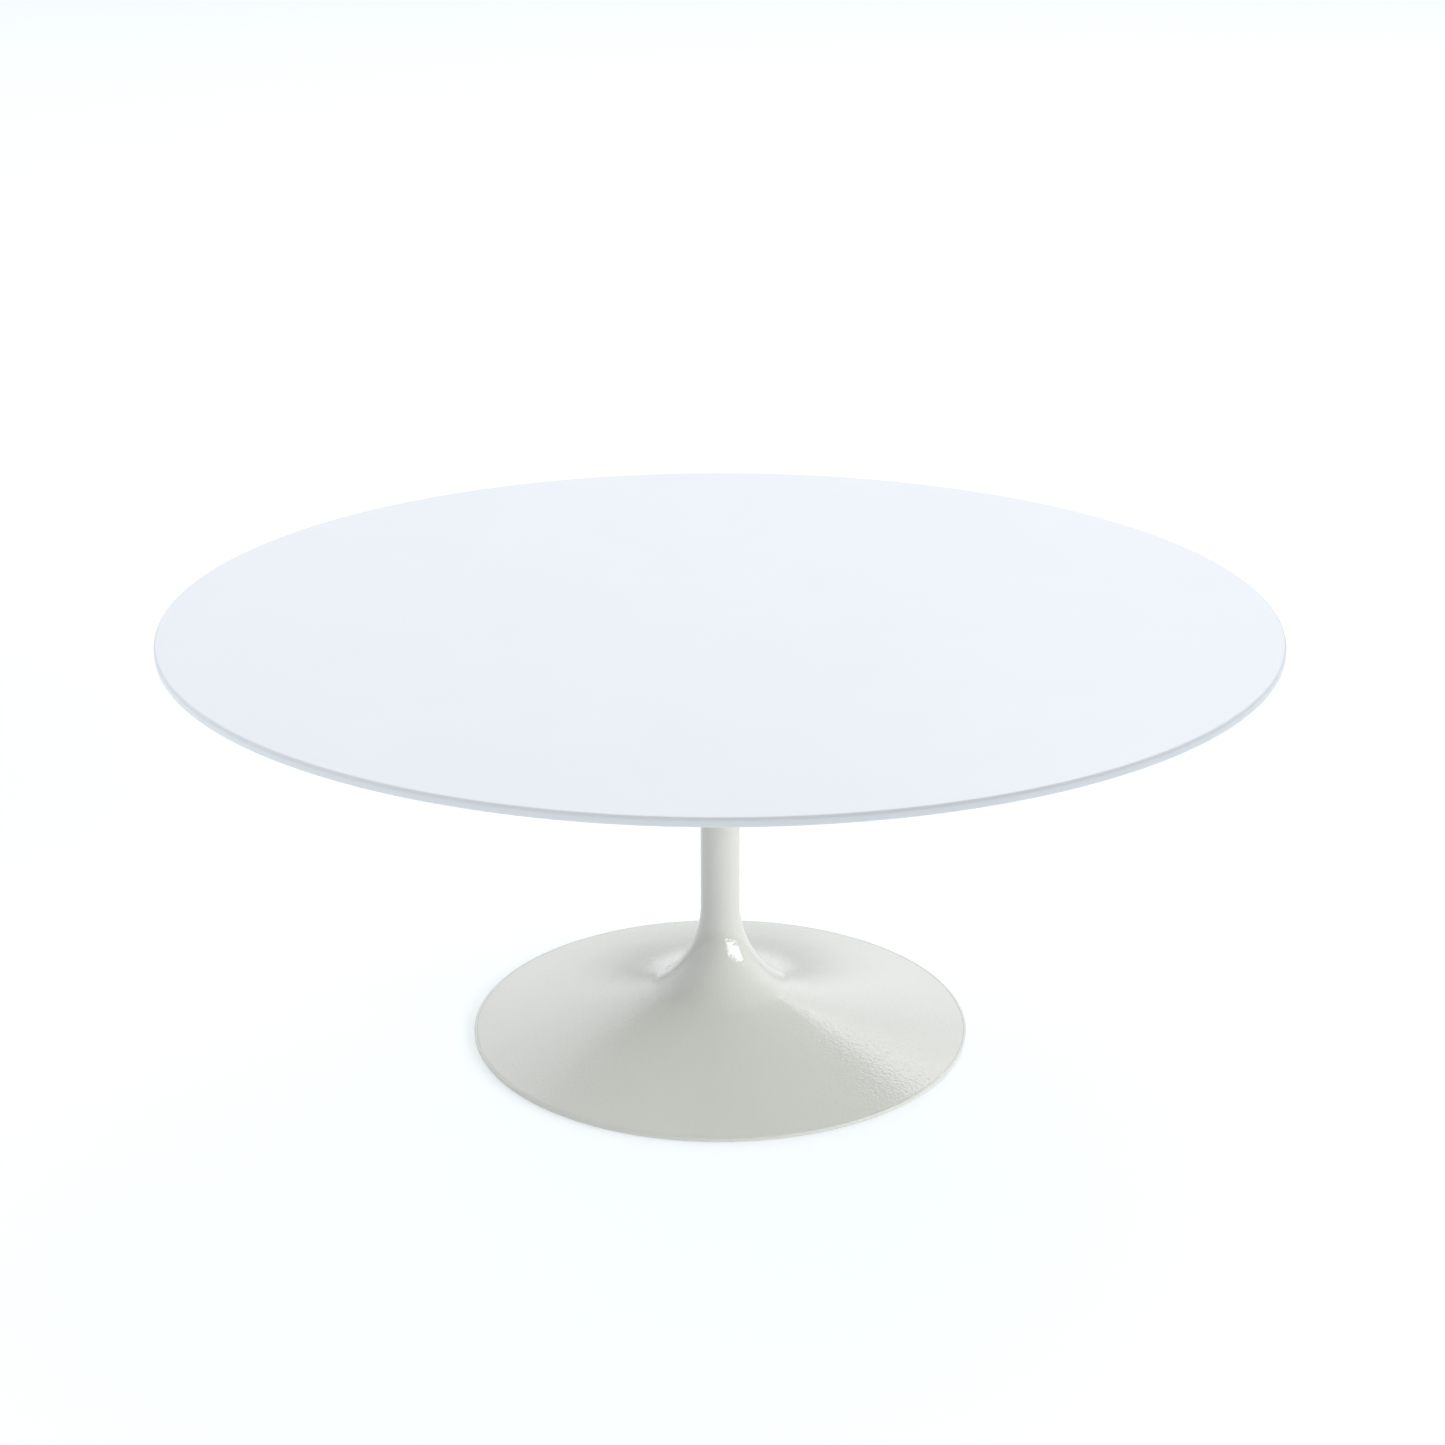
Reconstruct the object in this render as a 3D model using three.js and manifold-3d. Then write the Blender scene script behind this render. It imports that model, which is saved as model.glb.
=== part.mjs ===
// Round pedestal table: a thin lacquered top on a trumpet-shaped cast pedestal.
// A tie rod down the stem clamps the top's mounting plate to the pedestal,
// and screw-in glides under the foot level it.
// Millimetres, +Z up. The origin is on the floor under the middle of the stem.

import * as THREE from "three";
import { mergeVertices } from "three/addons/utils/BufferGeometryUtils.js";
import Module from "manifold-3d";

const wasm = await Module();
wasm.setup();

// ---- Driving dimensions -------------------------------------------------

// Overall
const tableHeight = 376;
const topDiameter = 914;
const footDiameter = 426;

// Top board: rounded upper edge, short upright edge, then a wide bevel beneath
const boardThickness = 19;
const boardEdgeHeight = 7;
const boardUpperRound = 2.5;
const boardLowerRound = 1.2;
const boardBevelWidth = 60;
const boardBevelRound = 5;

// Mounting plate and the hub welded under it
const plateDiameter = 260;
const plateThickness = 5;
const plateEdgeChamfer = 0.8;
const plateScrewInset = 22;
const plateScrewCount = 6;
const hubLength = 32;
const hubChamfer = 1;

// Pedestal: foot disc, neck, stem and the flare that carries the plate
const stemDiameter = 33.6;
const stemBoreDiameter = 21;
const rimGap = 1;
const rimTop = 4.2;
const rimRound = 0.9;
const footRise = 26.6; // height gained each time the radius shrinks by a factor e
const neckFootRadius = 60.5;
const neckRise = 75.5;
const neckFootPull = 12; // how far each end of the neck's curve holds its direction
const neckStemPull = 40.6;
const flareDiameter = 120;
const flareHeight = 74;
const flareStemPull = 44; // the same for the flare's curve
const flarePlatePull = 26;
const flangeThickness = 5;
const flangeRound = 1.2;

// Hollow under the foot, its ribs and its glide bosses
const footWall = 5;
const seatDiameter = 68;
const seatAboveNeckFoot = 12.5;
const ribThickness = 5;
const ribClearanceAboveFloor = 6;
const bossDiameter = 24;
const bossSkin = 2.4;

// Tie rod and what clamps it
const rodDiameter = 12;
const rodChamfer = 1.2;
const rodThreadBelowNut = 6;
const clampWasherWidth = 13.5; // from the hole to the outer edge
const clampWasherThickness = 4;
const springWasherWidth = 4;
const springWasherThickness = 2.5;
const springWasherSplit = 1.5;
const nutWall = 3.25; // from the thread to a flat
const nutThickness = 10;

// Screws and threaded inserts that hold the plate to the board
const screwDiameter = 6;
const screwHeadOverhang = 2.5;
const screwHeadHeight = 3.3;
const screwHeadRound = 1.6;
const screwReach = 11;
const screwSocketAcrossFlats = 4;
const screwSocketDepth = 2;
const insertWall = 1.3;
const insertLength = 12;
const insertFlangeOverhang = 1.2;
const insertFlangeThickness = 1.2;

// Levelling glides
const glideCount = 4;
const glideInset = 68;
const glideDiameter = 6;
const padDiameter = 24;
const padHeight = 3.4;
const padRound = 0.8;
const padFloor = 0.9;
const padLip = 0.6;
const padToolHoleDiameter = 6.4;
const studFlangeOverhang = 2.2;
const studSlotWidth = 1.2;
const studSlotDepth = 0.6;
const studChamfer = 0.6;

// Gaps between pieces
const seatGap = 0.3; // between two faces that rest on each other
const fitGap = 0.3; // around a piece that fits in a hole
const passGap = 0.5; // around the rod where it passes through a hole
const threadGap = 0.25; // around a plain shank that stands for a thread
const endGap = 1; // past the end of a shank in a blind hole
const throughCut = 1; // how far a cutter passes the face that it opens

// Roundness of the meshes, round the axis and along an outline
const boardFacets = 80;
const footFacets = 56;
const plateFacets = 48;
const smallFacets = 16;
const discSteps = 9;
const neckSteps = 9;
const flareSteps = 8;
const ceilingSteps = 6;
const edgeSteps = 3;

// ---- Heights and radii that follow from them ----------------------------

const topRadius = topDiameter / 2;
const footRadius = footDiameter / 2;
const stemRadius = stemDiameter / 2;
const boardUnderside = tableHeight - boardThickness;
const plateTop = boardUnderside - seatGap;
const plateUnderside = plateTop - plateThickness;
const pedestalTop = plateUnderside - seatGap;
const neckFootHeight = footHeightAt(neckFootRadius);
const neckTop = neckFootHeight + neckRise;
const seatHeight = neckFootHeight + seatAboveNeckFoot;
const flareBottom = pedestalTop - flareHeight;
const boreRadius = stemBoreDiameter / 2;
const hubRadius = boreRadius - fitGap;
const rodHoleRadius = rodDiameter / 2 + passGap;
const rodThreadRadius = rodDiameter / 2 + threadGap;
const screwThreadRadius = screwDiameter / 2 + threadGap;
const insertRadius = screwThreadRadius + insertWall;
const insertFlangeRadius = insertRadius + insertFlangeOverhang;
const clampWasherTop = seatHeight - seatGap;
const springWasherTop = clampWasherTop - clampWasherThickness - seatGap;
const nutTop = springWasherTop - springWasherThickness - seatGap;
const rodBottom = nutTop - nutThickness - rodThreadBelowNut;
const rodTop = plateTop - seatGap;
const plateScrewCircle = plateDiameter / 2 - plateScrewInset;
const glideCircle = footRadius - glideInset;
const bossBottom = padHeight + seatGap;
const glideHoleTop = footHeightAt(glideCircle + glideDiameter / 2) - bossSkin;

// Height of the foot's upper face at a distance from the axis.
function footHeightAt(radius) {
  return rimTop + footRise * Math.log(footRadius / radius);
}

// ---- Materials ----------------------------------------------------------

const finishes = {
  lacquer: { color: 0xf1f5f9, roughness: 0.28, metalness: 0 },
  powderCoat: { color: 0xe9eae6, roughness: 0.22, metalness: 0 },
  zinc: { color: 0xb9bcbe, roughness: 0.35, metalness: 1 },
  brass: { color: 0xc2a25a, roughness: 0.35, metalness: 1 },
  nylon: { color: 0xe4e2da, roughness: 0.55, metalness: 0 },
};

// ---- Helpers ------------------------------------------------------------

const table = new THREE.Group();

// Adds one named piece to a group.
function addPiece(parent, name, solid, finish) {
  const { vertProperties, triVerts } = solid.getMesh();
  const geometry = new THREE.BufferGeometry()
    .setAttribute("position", new THREE.BufferAttribute(vertProperties, 3))
    .setIndex(new THREE.BufferAttribute(triVerts, 1));
  geometry.computeVertexNormals();
  const piece = new THREE.Mesh(geometry, new THREE.MeshStandardMaterial(finish));
  piece.name = name;
  parent.add(piece);
}

// A closed three.js geometry as a solid that can be joined and cut.
function solidFrom(geometry) {
  geometry.deleteAttribute("normal");
  geometry.deleteAttribute("uv");
  const merged = mergeVertices(geometry);
  return new wasm.Manifold(
    new wasm.Mesh({
      numProp: 3,
      vertProperties: merged.attributes.position.array,
      triVerts: new Uint32Array(merged.index.array),
    }),
  );
}

// A solid turned about the Z axis from [radius, height] points, going up its outside.
function turned(outline, facets) {
  const points = outline.map(([radius, height]) => new THREE.Vector2(radius, height));
  return solidFrom(new THREE.LatheGeometry(points, facets).rotateX(Math.PI / 2));
}

// A round bar between two heights, and with six facets a hexagonal one.
function bar(radius, low, high, facets = smallFacets) {
  return turned([[0, low], [radius, low], [radius, high], [0, high]], facets);
}

// A hexagonal bar, sized across its flats.
function hexBar(acrossFlats, low, high) {
  return bar(acrossFlats / 2 / Math.cos(Math.PI / 6), low, high, 6);
}

// A box by its lowest and highest corners.
function block(low, high) {
  const size = high.map((value, axis) => value - low[axis]);
  const middle = high.map((value, axis) => (value + low[axis]) / 2);
  return solidFrom(new THREE.BoxGeometry(...size).translate(...middle));
}

// Points on a circular arc in an outline, with angles in degrees from outwards.
function arc(centreRadius, centreHeight, radius, fromAngle, toAngle, steps) {
  return Array.from({ length: steps + 1 }, (_, step) => {
    const angle = THREE.MathUtils.degToRad(fromAngle + ((toAngle - fromAngle) * step) / steps);
    return [centreRadius + radius * Math.cos(angle), centreHeight + radius * Math.sin(angle)];
  });
}

// Points on a cubic curve in an outline, without its first point.
function curve(start, startControl, endControl, end, steps) {
  const corners = [start, startControl, endControl, end].map(([x, y]) => new THREE.Vector2(x, y));
  const points = new THREE.CubicBezierCurve(...corners).getPoints(steps);
  return points.slice(1).map(({ x, y }) => [x, y]);
}

// Evenly spaced numbers from one value to another, both included.
function spread(from, to, steps) {
  return Array.from({ length: steps + 1 }, (_, step) => from + ((to - from) * step) / steps);
}

// The angles, in radians, of pieces spaced evenly round the axis.
function anglesAround(count, firstAngle) {
  return spread(0, count - 1, count - 1).map(
    (index) => THREE.MathUtils.degToRad(firstAngle) + (index * 2 * Math.PI) / count,
  );
}

// Where a piece on a circle round the axis stands.
function placeOnCircle(radius, angle) {
  return [radius * Math.cos(angle), radius * Math.sin(angle), 0];
}

const plateScrewPlaces = anglesAround(plateScrewCount, 0).map((angle) =>
  placeOnCircle(plateScrewCircle, angle),
);
const glideAngles = anglesAround(glideCount, 45);
const glidePlaces = glideAngles.map((angle) => placeOnCircle(glideCircle, angle));

// ---- Top board ----------------------------------------------------------

function tableTop() {
  const edgeBottom = tableHeight - boardEdgeHeight;
  const bevelEnd = topRadius - boardBevelWidth;
  const bevelSlope = (boardThickness - boardEdgeHeight) / boardBevelWidth;
  const bevelAngle = THREE.MathUtils.radToDeg(Math.atan(bevelSlope));
  const lowerRound = [topRadius - boardLowerRound, edgeBottom + boardLowerRound, boardLowerRound];
  const upperRound = [topRadius - boardUpperRound, tableHeight - boardUpperRound, boardUpperRound];
  const board = turned(
    [
      [0, boardUnderside],
      [bevelEnd - boardBevelRound, boardUnderside],
      ...curve(
        [bevelEnd - boardBevelRound, boardUnderside],
        [bevelEnd, boardUnderside],
        [bevelEnd, boardUnderside],
        [bevelEnd + boardBevelRound, boardUnderside + bevelSlope * boardBevelRound],
        edgeSteps,
      ),
      ...arc(...lowerRound, bevelAngle - 90, 0, edgeSteps),
      ...arc(...upperRound, 0, 90, edgeSteps),
      [0, tableHeight],
    ],
    boardFacets,
  );
  const pocketRadius = insertRadius + fitGap;
  const flangePocketRadius = insertFlangeRadius + fitGap;
  const flangePocketTop = boardUnderside + insertFlangeThickness + seatGap;
  const pocketTop = boardUnderside + insertLength + endGap;
  return plateScrewPlaces.reduce((cut, place) => {
    const pocket = bar(pocketRadius, boardUnderside - throughCut, pocketTop);
    const flangePocket = bar(flangePocketRadius, boardUnderside - throughCut, flangePocketTop);
    return cut.subtract(pocket.add(flangePocket).translate(place));
  }, board);
}

addPiece(table, "table_top", tableTop(), finishes.lacquer);

// ---- Threaded inserts and plate screws ----------------------------------

function threadedInsert() {
  const flangeTop = boardUnderside + insertFlangeThickness;
  const top = boardUnderside + insertLength;
  return turned(
    [
      [screwThreadRadius, boardUnderside],
      [insertFlangeRadius, boardUnderside],
      [insertFlangeRadius, flangeTop],
      [insertRadius, flangeTop],
      [insertRadius, top],
      [screwThreadRadius, top],
      [screwThreadRadius, boardUnderside],
    ],
    smallFacets,
  );
}

function plateScrew() {
  const headTop = plateUnderside - seatGap;
  const headBottom = headTop - screwHeadHeight;
  const headRadius = screwDiameter / 2 + screwHeadOverhang;
  const screw = turned(
    [
      [0, headBottom],
      [headRadius - screwHeadRound, headBottom],
      [headRadius, headBottom + screwHeadRound],
      [headRadius, headTop],
      [screwDiameter / 2, headTop],
      [screwDiameter / 2, boardUnderside + screwReach],
      [0, boardUnderside + screwReach],
    ],
    smallFacets,
  );
  const socket = hexBar(
    screwSocketAcrossFlats,
    headBottom - throughCut,
    headBottom + screwSocketDepth,
  );
  return screw.subtract(socket);
}

plateScrewPlaces.forEach((place, index) => {
  const fastener = new THREE.Group();
  fastener.position.set(...place);
  addPiece(fastener, `threaded_insert_${index + 1}`, threadedInsert(), finishes.brass);
  addPiece(fastener, `plate_screw_${index + 1}`, plateScrew(), finishes.zinc);
  table.add(fastener);
});

// ---- Mounting plate with its hub ----------------------------------------

function mountingPlate() {
  const plateRadius = plateDiameter / 2;
  const hubBottom = plateUnderside - hubLength;
  const plate = turned(
    [
      [0, hubBottom],
      [hubRadius - hubChamfer, hubBottom],
      [hubRadius, hubBottom + hubChamfer],
      [hubRadius, plateUnderside],
      [plateRadius - plateEdgeChamfer, plateUnderside],
      [plateRadius, plateUnderside + plateEdgeChamfer],
      [plateRadius, plateTop],
      [0, plateTop],
    ],
    plateFacets,
  );
  const rodHole = bar(rodThreadRadius, hubBottom - throughCut, plateTop + throughCut);
  const screwHoleRadius = screwDiameter / 2 + fitGap;
  const screwHole = bar(screwHoleRadius, plateUnderside - throughCut, plateTop + throughCut);
  return plateScrewPlaces.reduce(
    (cut, place) => cut.subtract(screwHole.translate(place)),
    plate.subtract(rodHole),
  );
}

addPiece(table, "mounting_plate", mountingPlate(), finishes.powderCoat);

// ---- Pedestal casting ---------------------------------------------------

// The pedestal's outside, from its rim up the foot, neck, stem and top flare.
function pedestalOutside() {
  const flareRadius = flareDiameter / 2;
  const flangeBottom = pedestalTop - flangeThickness;
  const neckFootSlope = footRise / neckFootRadius;
  const rimRoundRadius = footRadius - rimRound;
  const rimUpperRoundHeight = footHeightAt(rimRoundRadius) - rimRound;
  const discRadii = spread(rimRoundRadius, neckFootRadius, discSteps).slice(1);
  return turned(
    [
      [0, rimGap],
      ...arc(rimRoundRadius, rimGap + rimRound, rimRound, -90, 0, edgeSteps),
      ...arc(rimRoundRadius, rimUpperRoundHeight, rimRound, 0, 90, edgeSteps),
      ...discRadii.map((radius) => [radius, footHeightAt(radius)]),
      ...curve(
        [neckFootRadius, neckFootHeight],
        [neckFootRadius - neckFootPull, neckFootHeight + neckFootSlope * neckFootPull],
        [stemRadius, neckTop - neckStemPull],
        [stemRadius, neckTop],
        neckSteps,
      ),
      ...curve(
        [stemRadius, flareBottom],
        [stemRadius, flareBottom + flareStemPull],
        [flareRadius - flarePlatePull, flangeBottom],
        [flareRadius - flangeRound, flangeBottom],
        flareSteps,
      ),
      [flareRadius, flangeBottom + flangeRound],
      [flareRadius, pedestalTop],
      [0, pedestalTop],
    ],
    footFacets,
  );
}

// The hollow under the foot, with the ribs and bosses left standing in it.
function footHollow() {
  const ceilingAt = (radius) => footHeightAt(radius) - footWall;
  const floorSide = rimGap - throughCut;
  const mouthRadius = footRadius * Math.exp((rimTop - footWall - rimGap) / footRise);
  const ceilingRadii = spread(mouthRadius, neckFootRadius, ceilingSteps);
  const hollow = turned(
    [
      [0, floorSide],
      [mouthRadius, floorSide],
      ...ceilingRadii.map((radius) => [radius, ceilingAt(radius)]),
      [seatDiameter / 2, seatHeight],
      [0, seatHeight],
    ],
    footFacets,
  );
  const rib = block(
    [seatDiameter / 2, -ribThickness / 2, ribClearanceAboveFloor],
    [glideCircle, ribThickness / 2, seatHeight],
  );
  const boss = bar(bossDiameter / 2, bossBottom, seatHeight).translate([glideCircle, 0, 0]);
  return glideAngles.reduce(
    (cut, angle) => cut.subtract(rib.add(boss).rotate([0, 0, THREE.MathUtils.radToDeg(angle)])),
    hollow,
  );
}

function pedestal() {
  const hubPocketBottom = plateUnderside - hubLength - endGap;
  const rodHole = bar(rodHoleRadius, seatHeight - throughCut, hubPocketBottom);
  const stemBore = bar(boreRadius, neckTop, pedestalTop + throughCut, plateFacets);
  const glideHole = bar(glideDiameter / 2 + threadGap, bossBottom - throughCut, glideHoleTop);
  const cutters = [footHollow(), rodHole, stemBore].concat(
    glidePlaces.map((place) => glideHole.translate(place)),
  );
  return cutters.reduce((cut, cutter) => cut.subtract(cutter), pedestalOutside());
}

addPiece(table, "pedestal", pedestal(), finishes.powderCoat);

// ---- Tie rod, washers and nut -------------------------------------------

function tieRod() {
  const radius = rodDiameter / 2;
  return turned(
    [
      [0, rodBottom],
      [radius - rodChamfer, rodBottom],
      [radius, rodBottom + rodChamfer],
      [radius, rodTop - rodChamfer],
      [radius - rodChamfer, rodTop],
      [0, rodTop],
    ],
    smallFacets,
  );
}

// A flat washer round the rod.
function washer(width, thickness, top) {
  const radius = rodHoleRadius + width;
  const hole = bar(rodHoleRadius, top - thickness - throughCut, top + throughCut);
  return bar(radius, top - thickness, top, plateFacets).subtract(hole);
}

function clampWasher() {
  return washer(clampWasherWidth, clampWasherThickness, clampWasherTop);
}

function springWasher() {
  const reach = rodHoleRadius + springWasherWidth + throughCut;
  const low = springWasherTop - springWasherThickness - throughCut;
  const split = block(
    [0, -springWasherSplit / 2, low],
    [reach, springWasherSplit / 2, springWasherTop + throughCut],
  );
  return washer(springWasherWidth, springWasherThickness, springWasherTop).subtract(split);
}

function clampNut() {
  const bottom = nutTop - nutThickness;
  const acrossFlats = 2 * (rodThreadRadius + nutWall);
  const hole = bar(rodThreadRadius, bottom - throughCut, nutTop + throughCut);
  return hexBar(acrossFlats, bottom, nutTop).subtract(hole);
}

addPiece(table, "tie_rod", tieRod(), finishes.zinc);
addPiece(table, "clamp_washer", clampWasher(), finishes.zinc);
addPiece(table, "spring_washer", springWasher(), finishes.zinc);
addPiece(table, "clamp_nut", clampNut(), finishes.zinc);

// ---- Levelling glides ---------------------------------------------------

// Heights inside a glide: the stud's flange turns in a recess in the pad.
const studRadius = glideDiameter / 2;
const studFlangeRadius = studRadius + studFlangeOverhang;
const recessRadius = studFlangeRadius + fitGap;
const recessTop = padHeight - padLip;
const studFlangeBottom = padFloor + seatGap;
const studFlangeTop = recessTop - seatGap;

function glidePad() {
  const radius = padDiameter / 2;
  const neckRadius = studRadius + fitGap;
  const toolHoleRadius = padToolHoleDiameter / 2;
  return turned(
    [
      [toolHoleRadius, 0],
      ...arc(radius - padRound, padRound, padRound, -90, 0, edgeSteps),
      [radius, padHeight - padRound],
      [radius - padRound, padHeight],
      [neckRadius, padHeight],
      [neckRadius, recessTop],
      [recessRadius, recessTop],
      [recessRadius, padFloor],
      [toolHoleRadius, padFloor],
      [toolHoleRadius, 0],
    ],
    smallFacets,
  );
}

function glideStud() {
  const top = glideHoleTop - endGap;
  const stud = turned(
    [
      [0, studFlangeBottom],
      [studFlangeRadius, studFlangeBottom],
      [studFlangeRadius, studFlangeTop],
      [studRadius, studFlangeTop],
      [studRadius, top - studChamfer],
      [studRadius - studChamfer, top],
      [0, top],
    ],
    smallFacets,
  );
  const reach = studFlangeRadius + throughCut;
  const slot = block(
    [-reach, -studSlotWidth / 2, studFlangeBottom - throughCut],
    [reach, studSlotWidth / 2, studFlangeBottom + studSlotDepth],
  );
  return stud.subtract(slot);
}

glidePlaces.forEach((place, index) => {
  const glide = new THREE.Group();
  glide.position.set(...place);
  addPiece(glide, `glide_pad_${index + 1}`, glidePad(), finishes.nylon);
  addPiece(glide, `glide_stud_${index + 1}`, glideStud(), finishes.zinc);
  table.add(glide);
});

export default table;
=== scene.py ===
"""Round pedestal table: the looks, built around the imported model. Metres, +Z up.

The white board, the off-white casting and every fastener and glide are modelled here
in full, each over the solid of the same name.
"""

import math

import bpy
from mathutils import Matrix, Vector


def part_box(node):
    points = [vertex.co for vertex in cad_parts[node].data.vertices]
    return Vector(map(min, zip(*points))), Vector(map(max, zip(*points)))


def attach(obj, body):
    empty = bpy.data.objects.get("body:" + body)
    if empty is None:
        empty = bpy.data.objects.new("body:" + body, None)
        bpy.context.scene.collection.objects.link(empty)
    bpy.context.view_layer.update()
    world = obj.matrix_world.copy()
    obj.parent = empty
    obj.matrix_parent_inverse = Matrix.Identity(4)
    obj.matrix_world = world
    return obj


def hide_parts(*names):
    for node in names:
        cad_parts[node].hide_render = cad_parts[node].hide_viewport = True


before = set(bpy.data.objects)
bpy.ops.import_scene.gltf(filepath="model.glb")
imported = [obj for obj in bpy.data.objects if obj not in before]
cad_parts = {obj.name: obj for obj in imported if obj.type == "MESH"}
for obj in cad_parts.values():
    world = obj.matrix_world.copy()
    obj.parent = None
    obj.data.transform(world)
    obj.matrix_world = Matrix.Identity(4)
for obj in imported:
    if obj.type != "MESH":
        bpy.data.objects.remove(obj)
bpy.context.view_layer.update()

# ---- Sizes ---------------------------------------------------------------

# Read from the frame
board_low, board_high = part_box("table_top")
plate_low, plate_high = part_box("mounting_plate")
casting_low, casting_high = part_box("pedestal")
rod_low, rod_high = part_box("tie_rod")
clamp_low, clamp_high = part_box("clamp_washer")
spring_low, spring_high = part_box("spring_washer")
nut_low, nut_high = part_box("clamp_nut")
insert_low, insert_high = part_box("threaded_insert_1")
screw_low, screw_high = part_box("plate_screw_1")
pad_low, pad_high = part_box("glide_pad_1")
stud_low, stud_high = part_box("glide_stud_1")

BOARD_RADIUS = board_high.x
BOARD_UNDERSIDE = board_low.z
BOARD_TOP = board_high.z
FOOT_RADIUS = casting_high.x
ROD_RADIUS = (rod_high.x - rod_low.x) / 2
RIM_BOTTOM = casting_low.z
CASTING_TOP = casting_high.z

# Board
BOARD_EDGE = 0.007
BOARD_UPPER_ROUND = 0.0025
BOARD_LOWER_ROUND = 0.0012
BOARD_BEVEL_WIDTH = 0.060
BOARD_BEVEL_ROUND = 0.005
BOARD_RINGS = [0.02, 0.10, 0.20, 0.30]  # rings across both faces
BOARD_OUTER_RING = 0.40  # one more across the upper face
FLAT_MARGIN = 0.001  # flat left beside each rounding
POCKET_SPARE = 0.001  # depth above an insert

# Casting
RIM_TOP = 0.0042
RIM_ROUND = 0.0009
RIM_GROOVE_INSET = 0.0024
RIM_GROOVE_WIDTH = 0.0008
RIM_GROOVE_DEPTH = 0.0003
FOOT_RISE = 0.0266  # height gained each time the radius shrinks by a factor e
NECK_FOOT_RADIUS = 0.0605
NECK_RISE = 0.0755
NECK_FOOT_PULL = 0.012
NECK_STEM_PULL = 0.0406
STEM_RADIUS = 0.0168
FLARE_RADIUS = 0.060
FLARE_HEIGHT = 0.074
FLARE_STEM_PULL = 0.044
FLARE_PLATE_PULL = 0.026
FLANGE_THICKNESS = 0.005
FLANGE_ROUND = 0.0012
FOOT_WALL = 0.005
FOOT_RINGS = (0.030, 0.120, 0.195)  # rings across the underside
FLANGE_RING = 0.030
HOLLOW_RING = 0.030  # inside the hollow's mouth
SEAT_RADIUS = 0.034
SEAT_RING = 0.020
CHEEK_WALL_PULL = (0.013, 0.006)  # inwards and up from the ceiling's inner edge
CHEEK_SEAT_PULL = (0.002, 0.004)  # outwards and down from the seat's edge
RIB_THICKNESS = 0.005
RIB_BOTTOM = 0.006
RIB_ROUND = 0.0014
RIB_OVERLAP = 0.002  # into the wall round the seat and above it
BOSS_RADIUS = 0.012
BOSS_ROUND = 0.0008
BORE_RADIUS = 0.0105
ROD_HOLE_RADIUS = 0.0065
GLIDE_HOLE_RADIUS = 0.00325
GLIDE_HOLE_SPARE = 0.001  # depth above a stud
HUB_CLEARANCE = 0.001  # from the rod's hole up to the hub

# Mounting plate
PLATE_THICKNESS = 0.005
PLATE_ROUND = 0.0008
PLATE_UNDER_RINGS = (0.060, 0.122)
PLATE_UPPER_RING = 0.060
HUB_RADIUS = 0.0102
HUB_ROUND = 0.001
HUB_RING = 0.004
WELD_WIDTH = 0.0025
WELD_RELIEF = (0.0002, 0.001)  # outwards from the hub and down from the plate
SCREW_HOLE_RADIUS = 0.0033

# Threads
ROD_PITCH = 0.00175
GLIDE_PITCH = 0.001
SCREW_PITCH = 0.001
THREAD_DEPTH_SHARE = 0.54  # of the pitch
THREAD_SPARE_TURNS = 3  # wound past the two ends together

# Clearances and tolerances
PAST = 0.001  # how far a cutter runs past the face that it cuts
SEAT_GAP = 0.0003
THREAD_GAP = 0.00025
MERGE_DISTANCE = 1e-7
WINDING_MERGE_DISTANCE = 1e-6

# How finely round shapes are drawn
BOARD_FACETS = 256
FOOT_FACETS = 224
DISC_STEPS = 40
NECK_STEPS = 36
STEM_STEPS = 12
FLARE_STEPS = 28
CEILING_STEPS = 24
CHEEK_STEPS = 8
PLATE_FACETS = 128
HOLLOW_FACETS = 128
SMALL_FACETS = 48
ROUNDING_SEGMENTS = 3
SHARP_ANGLE = 60  # degrees, for an edge that is rounded
SMOOTH_ANGLE = 32  # degrees, for an edge that is shaded smooth
NUT_SMOOTH_ANGLE = 25


# ---- Modelling helpers ---------------------------------------------------


def object_mode():
    """Leaves edit mode and deselects everything."""
    if bpy.context.mode != "OBJECT":
        bpy.ops.object.mode_set(mode="OBJECT")
    bpy.ops.object.select_all(action="DESELECT")


def make_active(piece):
    """Selects one object and makes it the active one."""
    object_mode()
    piece.select_set(True)
    bpy.context.view_layer.objects.active = piece


def finish_piece(piece, name, smooth_angle=SMOOTH_ANGLE):
    """Points the faces outwards, puts the place in the mesh and shades the piece."""
    make_active(piece)
    bpy.ops.object.transform_apply(location=True, rotation=True, scale=True)
    bpy.ops.object.mode_set(mode="EDIT")
    bpy.ops.mesh.select_all(action="SELECT")
    bpy.ops.mesh.remove_doubles(threshold=MERGE_DISTANCE)
    bpy.ops.mesh.normals_make_consistent(inside=False)
    object_mode()
    make_active(piece)
    bpy.ops.object.shade_smooth_by_angle(angle=math.radians(smooth_angle))
    piece.name = name
    piece.data.name = name
    return piece


def extrude(move=(0, 0, 0)):
    """Extrudes what is selected in edit mode."""
    bpy.ops.mesh.extrude_region_move(TRANSFORM_OT_translate={"value": move})


def close_ring():
    """Fills the selected ring with triangles that meet at its middle."""
    extrude()
    bpy.ops.mesh.merge(type="CENTER")


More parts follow.
